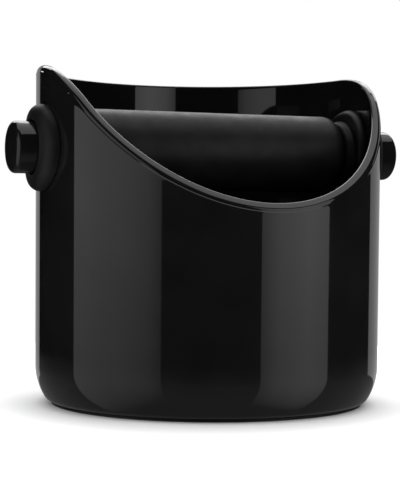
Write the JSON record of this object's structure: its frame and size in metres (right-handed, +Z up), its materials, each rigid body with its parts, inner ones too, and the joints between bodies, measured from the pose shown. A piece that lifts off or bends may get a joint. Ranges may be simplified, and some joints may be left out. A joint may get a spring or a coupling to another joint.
{
  "type": "espresso knock box",
  "caption": "Round countertop bin with a slanted scoop front, and a rubber-sleeved knock bar across it on rubber grommets, held by screw-on end knobs.",
  "frame": {"origin": "middle of the base, on the surface that the box stands on", "axes": "+X along the knock bar, -Y towards the scooped front, +Z up"},
  "size_m": [0.1524, 0.1283, 0.1238],
  "materials": {
    "bin_plastic": "polished black moulded plastic",
    "foot_rubber": "matte black non-slip rubber",
    "grommet_rubber": "matte black moulded rubber",
    "sleeve_rubber": "satin black extruded rubber",
    "bar_steel": "turned stainless steel",
    "knob_plastic": "glossy black moulded plastic",
    "stud_steel": "bright threaded steel"
  },
  "bodies": {
    "box": {"bin": "bin_plastic", "base_ring": "foot_rubber", "left_grommet": "grommet_rubber", "right_grommet": "grommet_rubber"},
    "knock_bar": {"bar_core": "bar_steel", "bar_sleeve": "sleeve_rubber"},
    "left_end": {"left_knob": "knob_plastic", "left_stud": "stud_steel"},
    "right_end": {"right_knob": "knob_plastic", "right_stud": "stud_steel"}
  },
  "joints": [
    {"name": "bar_turn", "type": "hinge", "parent": "box", "child": "knock_bar", "pos_m": [0, 0, 0.0935], "axis": [1, 0, 0], "continuous": true},
    {"name": "left_knob_off", "type": "slide", "parent": "knock_bar", "child": "left_end", "axis": [-1, 0, 0], "range_m": [0, 0.025]},
    {"name": "right_knob_off", "type": "slide", "parent": "knock_bar", "child": "right_end", "axis": [1, 0, 0], "range_m": [0, 0.025]}
  ]
}
